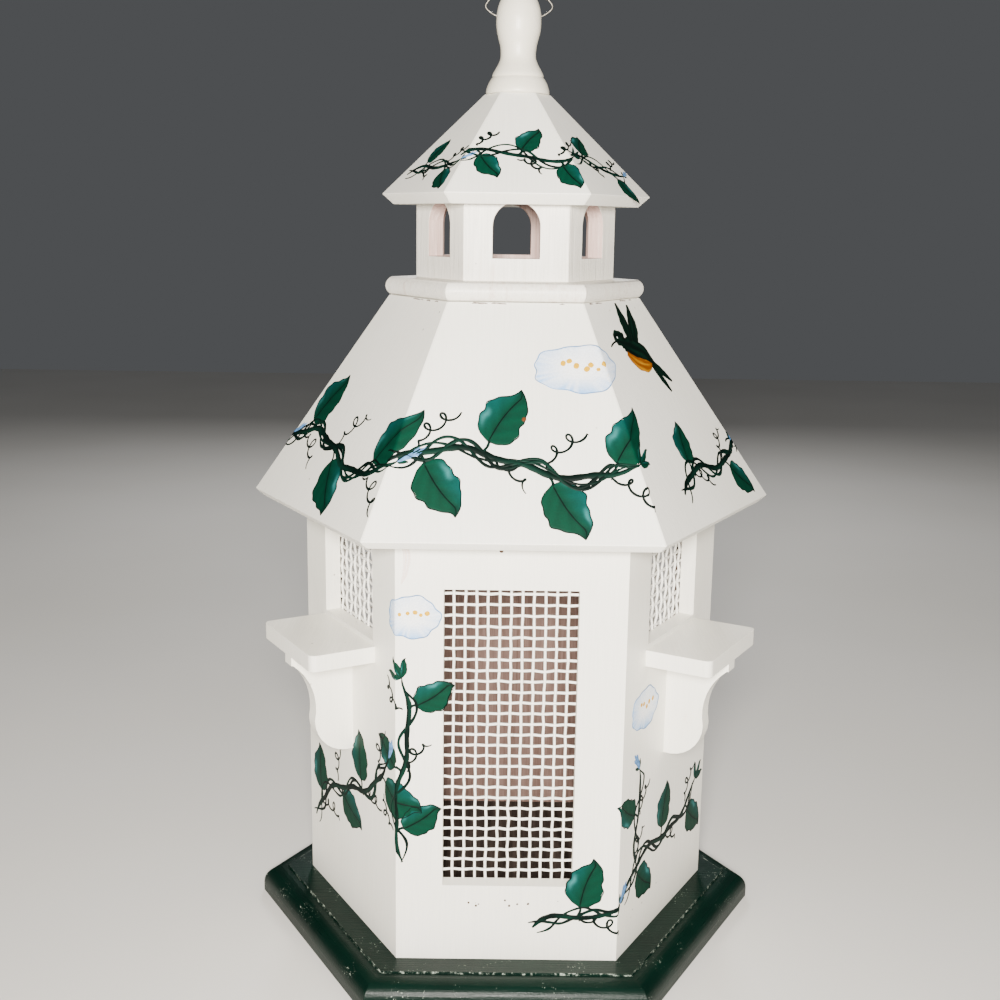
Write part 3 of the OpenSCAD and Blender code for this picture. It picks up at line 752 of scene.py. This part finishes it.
# A wide trumpet flower seen open: a disc with soft lobes, white in the middle and washed with blue in rays
# towards a thin grey-blue rim, with dabs of pollen across it.
def blossom(paint, kind, side, at, size, dots):
    u, v = roundGrid(31)
    r, a = np.hypot(u, v), np.arctan2(v, u)
    reach = 1 + (0.05 * np.cos(5 * a) + 0.025 * np.sin(11 * a)) * r
    xy = np.stack([at[0] + u * reach * size[0], at[1] + v * reach * size[1]], -1)
    rays = 0.5 + 0.5 * np.sin(17 * a + 2.5 * np.sin(7 * a))
    blue = np.clip((r - 0.30) * 1.5, 0, 1) * (0.45 + 0.55 * rays) * (0.65 - 0.35 * np.sin(a + 0.5))
    lift = np.where(r < 0.995, paintWork["film"] * (1 + 0.8 * (1 - r) + 0.3 * rays * r), paintWork["tuck"])
    lay(paint, kind, side, xy, lift, blendTone(tones["petal"], tones["petalBlue"], blue))
    rim = np.vstack([xy[0], xy[1:, -1], xy[-1, -2::-1], xy[-2::-1, 0]])
    stroke(paint, kind, side, rim, 0.75, "petalEdge", "petalBlue", ends=(0.6, 0.6), drawn=True)
    for f in np.linspace(-0.35, 0.55, dots):
        dab(paint, kind, side, (at[0] + f * size[0] + random.normal(0, 0.5),
                                at[1] + size[1] * 0.2 + random.normal(0, size[1] * 0.1)),
            random.uniform(1.2, 2.0), "pollen")


# Three tips at turns to either side of a heading, the middle one last and longest.
def fan(at, heading, size, shares):
    for turn, share in shares:
        a = math.radians(heading + turn)
        yield turn, (at[0] + size * share * math.cos(a), at[1] + size * share * math.sin(a))


# Three broad pointed sepals fanned round the end of a stalk.
def calyx(paint, kind, side, at, heading, size):
    for turn, tip in fan(at, heading, size, ((-38, 0.9), (38, 0.9), (0, 1.0))):
        leaf(paint, kind, side, at, tip, size * 0.2, bend=0.08 if turn > 0 else -0.08, narrow=True)


# A furled bud: three pale-blue pulls of the brush fanned out of a small calyx.
def bud(paint, kind, side, at, heading, size):
    for _, tip in fan(at, heading, size, ((-11, 0.85), (11, 0.82), (0, 1.0))):
        middle = ((at[0] + tip[0]) / 2 + 0.6, (at[1] + tip[1]) / 2)
        stroke(paint, kind, side, [at, middle, tip], size * 0.17, "petalEdge", "petalBlue")
    calyx(paint, kind, side, at, heading, size * 0.5)


# A feather, head or body: a blade whose half-width is given at points along its bowed spine, with streaks.
def blade(paint, kind, side, spine, dark, pale):
    p = spline(spine, 0.8)
    s = np.linspace(-1, 1, 11)
    t = np.linspace(0, 1, len(p))[:, None]
    ripple = 1 + 0.05 * np.sin(25 * t + s * 2)
    across = squareTo(p[:, :2]) * np.maximum(p[:, 2:], 0.05)
    xy = p[:, None, :2] + across[:, None] * (s * ripple)[..., None]
    streak = np.clip(np.sin(8 * s + 3 * t + random.uniform(0, 6)), 0, 1) * np.sin(np.pi * t)
    lift = paintWork["film"] * (1.5 + 1.2 * (1 - s ** 2))
    lift = np.where(np.abs(s) < 1, lift, paintWork["tuck"]) + 0 * t
    lay(paint, kind, side, xy, lift, blendTone(tones[dark], tones[pale], streak * 0.6))


# A generic small garden bird: blades of x, y and half-width in millimetres from the middle of its back.
birdShape = [
    ("bird", "birdLight", [(8, -8, 2), (18, -18, 3), (25, -25, 1)]),
    ("bird", "birdLight", [(8, -8, 2), (14, -22, 3), (18, -31, 1)]),
    ("bird", "birdLight", [(2, 2, 3), (10, 14, 5), (15, 26, 1)]),
    ("bird", "birdLight", [(-3, 3, 3), (0, 15, 5), (1, 28, 1)]),
    ("bellyDark", "belly", [(-15, -3, 2), (-8, -9, 5), (2, -12, 5), (10, -12, 1)]),
    ("bird", "birdLight", [(-15, 2, 4), (-5, -1, 8), (6, -5, 7), (13, -12, 2)]),
    ("bird", "birdLight", [(-22, 4, 2), (-17, 6, 6), (-10, 4, 6)]),
]


# The bird: its blades moved to the place, a beak of one stroke and a dab for the eye.
def smallBird(paint, kind, side, at):
    for dark, pale, spine in birdShape:
        blade(paint, kind, side, np.array(spine) + [at[0], at[1], 0], dark, pale)
    beak = np.array([(-21, 5), (-26, 4), (-31, 2)]) + at
    stroke(paint, kind, side, beak, 1.3, "bird", "bird", ends=(1, 0.3))
    dab(paint, kind, side, (at[0] - 18, at[1] + 7), 0.9, "petal")


# Runs of a vine: side, start, end, swing, strands, width, number of leaves and leaf length in millimetres.
# Blossoms: side, middle, half sizes and dabs of pollen. Sides are counted round from the first one named;
# x is across a side and y up the board.
vines = {
    "roof": {"runs": [(0, (-75, 35), (70, 45), 10, 4, 3.2, 3, 36),
                      (1, (-68, 45), (68, 45), 8, 4, 3.2, 4, 34),
                      (2, (-30, 20), (65, 40), 6, 3, 3.0, 2, 26)],
             "blossoms": [(1, (35, 100), (25, 14), 7)]},
    "cap": {"runs": [(0, (-26, 15), (28, 25), 3, 3, 2.2, 2, 18), (1, (-34, 28), (34, 28), 4, 3, 2.2, 3, 19),
                     (2, (-28, 28), (24, 16), 3, 3, 2.2, 2, 18)],
            "blossoms": []},
    "corner": {"runs": [(0, (-55, 40), (55, 120), 8, 3, 2.9, 4, 30),
                        (1, (-60, 60), (-60, 170), 4, 2, 2.4, 3, 24)],
               "blossoms": [(1, (-55, 205), (16, 12), 5)]},
    "foot": {"runs": [(0, (15, 20), (66, 35), 4, 3, 2.6, 1, 30), (1, (-58, 35), (50, 70), 8, 3, 2.9, 3, 28),
                      (1, (-40, 50), (-40, 110), 3, 2, 2.3, 1, 24)],
             "blossoms": [(1, (-35, 145), (18, 12), 5)]},
}
vineHabit = {
    # shares are of the leaf length; wave, stalk, gap and end are millimetres; endTurn is degrees
    "wave": 34, "stalk": 1.7, "stand": 0.25, "reach": 0.85, "half": 0.36, "bend": 0.07,
    "loops": 3.2, "gap": 3, "loop": 0.09, "endTurn": 35, "end": 13, "smallEnd": 8, "smallRun": 20,
}
vineBrushes = {"stems": twine, "curls": curl, "stalks": stroke, "leaves": leaf, "blossoms": blossom,
               "buds": bud, "calyxes": calyx}


# Grows one vine by rule. A stem is its straight run plus one sine across it. Leaves stand off by turns to
# the left and right at equal shares of the run, with a tendril opposite each, and by turns a bud or a calyx
# ends the run.
def growVine(vine, habit):
    plan = {name: [] for name in vineBrushes}
    plan["blossoms"] = vine["blossoms"]
    for number, (k, start, end, swing, strands, width, leaves, size) in enumerate(vine["runs"]):
        a, b = np.array(start, float), np.array(end, float)
        along = (b - a) / np.linalg.norm(b - a)
        square = np.array([-along[1], along[0]])
        t = np.linspace(0, 1, 9)[:, None]
        line = a + (b - a) * t + square * swing * np.sin(2 * np.pi * t)
        plan["stems"].append((k, line, strands, width, 3 + width / 3, habit["wave"]))
        for i in range(leaves):
            share, turn = (i + 0.5) / leaves, 1 if i % 2 == number % 2 else -1
            root = a + (b - a) * share + square * swing * math.sin(2 * math.pi * share)
            out = 0.45 * along + 0.9 * turn * square
            base = root + out * size * habit["stand"]
            tip = base + (out + 0.25 * along) * size * habit["reach"]
            plan["stalks"].append((k, [root, (root + base) / 2 + along, base], habit["stalk"]))
            plan["leaves"].append((k, base, tip, size * habit["half"], habit["bend"] * turn))
            away = root - turn * square * habit["gap"]
            tendril = away + size * (0.7 * along - 0.55 * turn * square)
            plan["curls"].append((k, away, tendril, habit["loops"], size * habit["loop"]))
        heading = math.degrees(math.atan2(along[1], along[0])) + habit["endTurn"]
        endSize = habit["end"] if size > habit["smallRun"] else habit["smallEnd"]
        plan[("buds", "calyxes")[number % 2]].append((k, b, heading, endSize))
    return plan


# Paints one vine over neighbouring sides, the first being the named one: stems first, flowers over them.
def paintVine(paint, kind, vine, first):
    around = sides[sides.index(first):] + sides[:sides.index(first)]
    plan = growVine(vine, vineHabit)
    for name, brush in vineBrushes.items():
        for k, *marks in plan[name]:
            brush(paint, kind, around[k], *marks)


# Joins all the strokes of a store into one piece.
def dryPaint(paint, name, body, material):
    meshFrom(name, np.vstack(paint["points"]), np.vstack(paint["quads"]), body, material,
             colour=np.vstack(paint["colour"]))


acrylic = artistAcrylic("artistAcrylic", 0.5)
roofPaint, capPaint, wallPaint = newPaint(), newPaint(), newPaint()
for first in ("front_left", "back_right"):
    paintVine(roofPaint, "roof", vines["roof"], first)
smallBird(roofPaint, "roof", "front_right", np.array([0.0, 110.0]))
dab(roofPaint, "roof", "front", (5, 70), 1.3, "spot")
for first in ("front_left", "back_right"):
    paintVine(capPaint, "cap", vines["cap"], first)
for first in ("front_left", "back"):
    paintVine(wallPaint, "wall", vines["corner"], first)
for first in ("front", "back_right"):
    paintVine(wallPaint, "wall", vines["foot"], first)
dryPaint(roofPaint, "paintedVineRoof", "roof", acrylic)
dryPaint(capPaint, "paintedVineCupola", "roof", acrylic)
dryPaint(wallPaint, "paintedVineWalls", "house", acrylic)
print("vine painted:", roofPaint["count"] + capPaint["count"] + wallPaint["count"], "points")

wearAndShadeMarks = {
    "seamShadeBreaks": 5, "specks": 9, "speck": (0.25, 0.7), "belowEave": (29, 33), "belowSill": (0, 5),
    "flake": [(-60, 247, 0.6), (-57, 240, 2.2), (-58, 230, 1.6), (-60, 224, 0.4)],  # paint off the corner
    "nail": (-6, 243), "nailRadius": 1.1, "seed": 12,
}
# One finish for real dirt, flakes and the nail, and for the painted gap shadow below the collar.
wearAndShadeFinish = artistAcrylic("dirtGapShadeAndBareEdges", 0.75)
random = np.random.default_rng(wearAndShadeMarks["seed"])
roofSeamShade, wallWear = newPaint(), newPaint()
openLow = (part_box("screen_front")[0][2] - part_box("wall_front")[0][2]) / mm  # foot of the tall cloth
wallTop = faces["wall"]["length"] / mm
roofTop = faces["roof"]["length"] / mm
half = faces["roof"]["a1"] * tan30 / mm
for side in sides:
    # Dark broken strokes along the joint below the collar: painted shadow of the gap, with some dirt.
    for x in random.uniform(-half + 2, half - 10, wearAndShadeMarks["seamShadeBreaks"]):  # the joint below the collar
        line = [(x, roofTop - 0.9), (x + 2, roofTop - 0.6), (x + random.uniform(3, 9), roofTop - 1.0)]
        stroke(roofSeamShade, "roof", side, line, random.uniform(0.3, 1.0), "dirt", "worn")
    for x in random.uniform(-60, 60, wearAndShadeMarks["specks"]):  # specks below the eave
        at = (x, wallTop - random.uniform(*wearAndShadeMarks["belowEave"]))
        dab(wallWear, "wall", side, at, random.uniform(*wearAndShadeMarks["speck"]), "dirt")
for side in tallSides:
    blade(wallWear, "wall", side, wearAndShadeMarks["flake"], "worn", "petal")
    dab(wallWear, "wall", side, wearAndShadeMarks["nail"], wearAndShadeMarks["nailRadius"], "dirt")
    for x in random.uniform(-30, 30, wearAndShadeMarks["specks"]):  # specks along the sill
        at = (x, openLow - random.uniform(*wearAndShadeMarks["belowSill"]))
        dab(wallWear, "wall", side, at, random.uniform(*wearAndShadeMarks["speck"]), "dirt")
dryPaint(roofSeamShade, "seamShadeMarksRoof", "roof", wearAndShadeFinish)
dryPaint(wallWear, "wornMarksWalls", "house", wearAndShadeFinish)
print("wear marks added")

floorSizes = {"reach": 3, "points": 13, "drop": 0.2 * mm}
reachOut = np.linspace(-floorSizes["reach"], floorSizes["reach"], floorSizes["points"])
reachOut = np.stack(np.meshgrid(reachOut, reachOut), -1).reshape(-1, 2)
floorPoints = np.c_[reachOut, np.full(len(reachOut), -floorSizes["drop"])]
floorMesh = bpy.data.meshes.new("studioFloor")
floorQuads = gridQuads(floorSizes["points"], floorSizes["points"])
floorMesh.from_pydata(floorPoints.tolist(), [], floorQuads.tolist())
floor = addObject("studioFloor", floorMesh)
floorMaterial, t = newMaterial("paleFloor")
tint = node(t, "TexNoise", Vector=node(t, "TexCoord", 3), Scale=2.2, Detail=2.0)
paper = node(t, "ValToRGB", i0=tint, stops=[(0.3, "#d6d3cd"), (0.7, "#dedbd6")])
node(t, "OutputMaterial", Surface=node(t, "BsdfPrincipled", Base_Color=paper, Roughness=0.7))
floorMesh.materials.append(floorMaterial)

lights = {
    # place, aim, size, watts, colour
    "keyLight": ((-0.03, -0.98, 0.52), (0, 0, 0.30), 0.2, 38, "#fffaf2"),
    "topLight": ((0.4, -0.2, 1.7), (0, 0, 0.30), 1.2, 2, "#ffffff"),
    "backLight": ((0.0, 1.5, 1.1), (0, 0, 0.25), 0.4, 12, "#ffffff"),
}
room = {"colour": "#dfe3e8", "strength": 0.11}
world = bpy.data.worlds.new("softRoom")
bpy.context.scene.world = world
world.use_nodes = True
sky = world.node_tree.nodes["Background"].inputs
sky["Color"].default_value, sky["Strength"].default_value = linear(room["colour"]), room["strength"]
for name, (place, aim, size, watts, colour) in lights.items():
    lamp = bpy.data.lights.new(name, "AREA")
    lamp.shape = "DISK"
    lamp.size, lamp.energy, lamp.color = size, watts, linear(colour)[:3]
    obj = addObject(name, lamp)
    obj.location = place
    obj.rotation_euler = (Vector(aim) - Vector(place)).to_track_quat("-Z", "Y").to_euler()

cameraSizes = {"place": (-8.7 * mm, -792.4 * mm, 433.6 * mm), "turn": 0.126, "down": 11.96, "roll": 0.81,
               "lens": 46.97, "sensor": 36, "clip": 0.01}
camera = bpy.data.cameras.new("camera")
camera.lens, camera.sensor_width = cameraSizes["lens"], cameraSizes["sensor"]
camera.clip_start = cameraSizes["clip"]
view = addObject("camera", camera)
view.matrix_world = (Matrix.Translation(cameraSizes["place"])
                     @ Matrix.Rotation(-math.radians(cameraSizes["turn"]), 4, "Z")
                     @ Matrix.Rotation(math.radians(90 - cameraSizes["down"]), 4, "X")
                     @ Matrix.Rotation(math.radians(cameraSizes["roll"]), 4, "Z"))
bpy.context.scene.camera = view
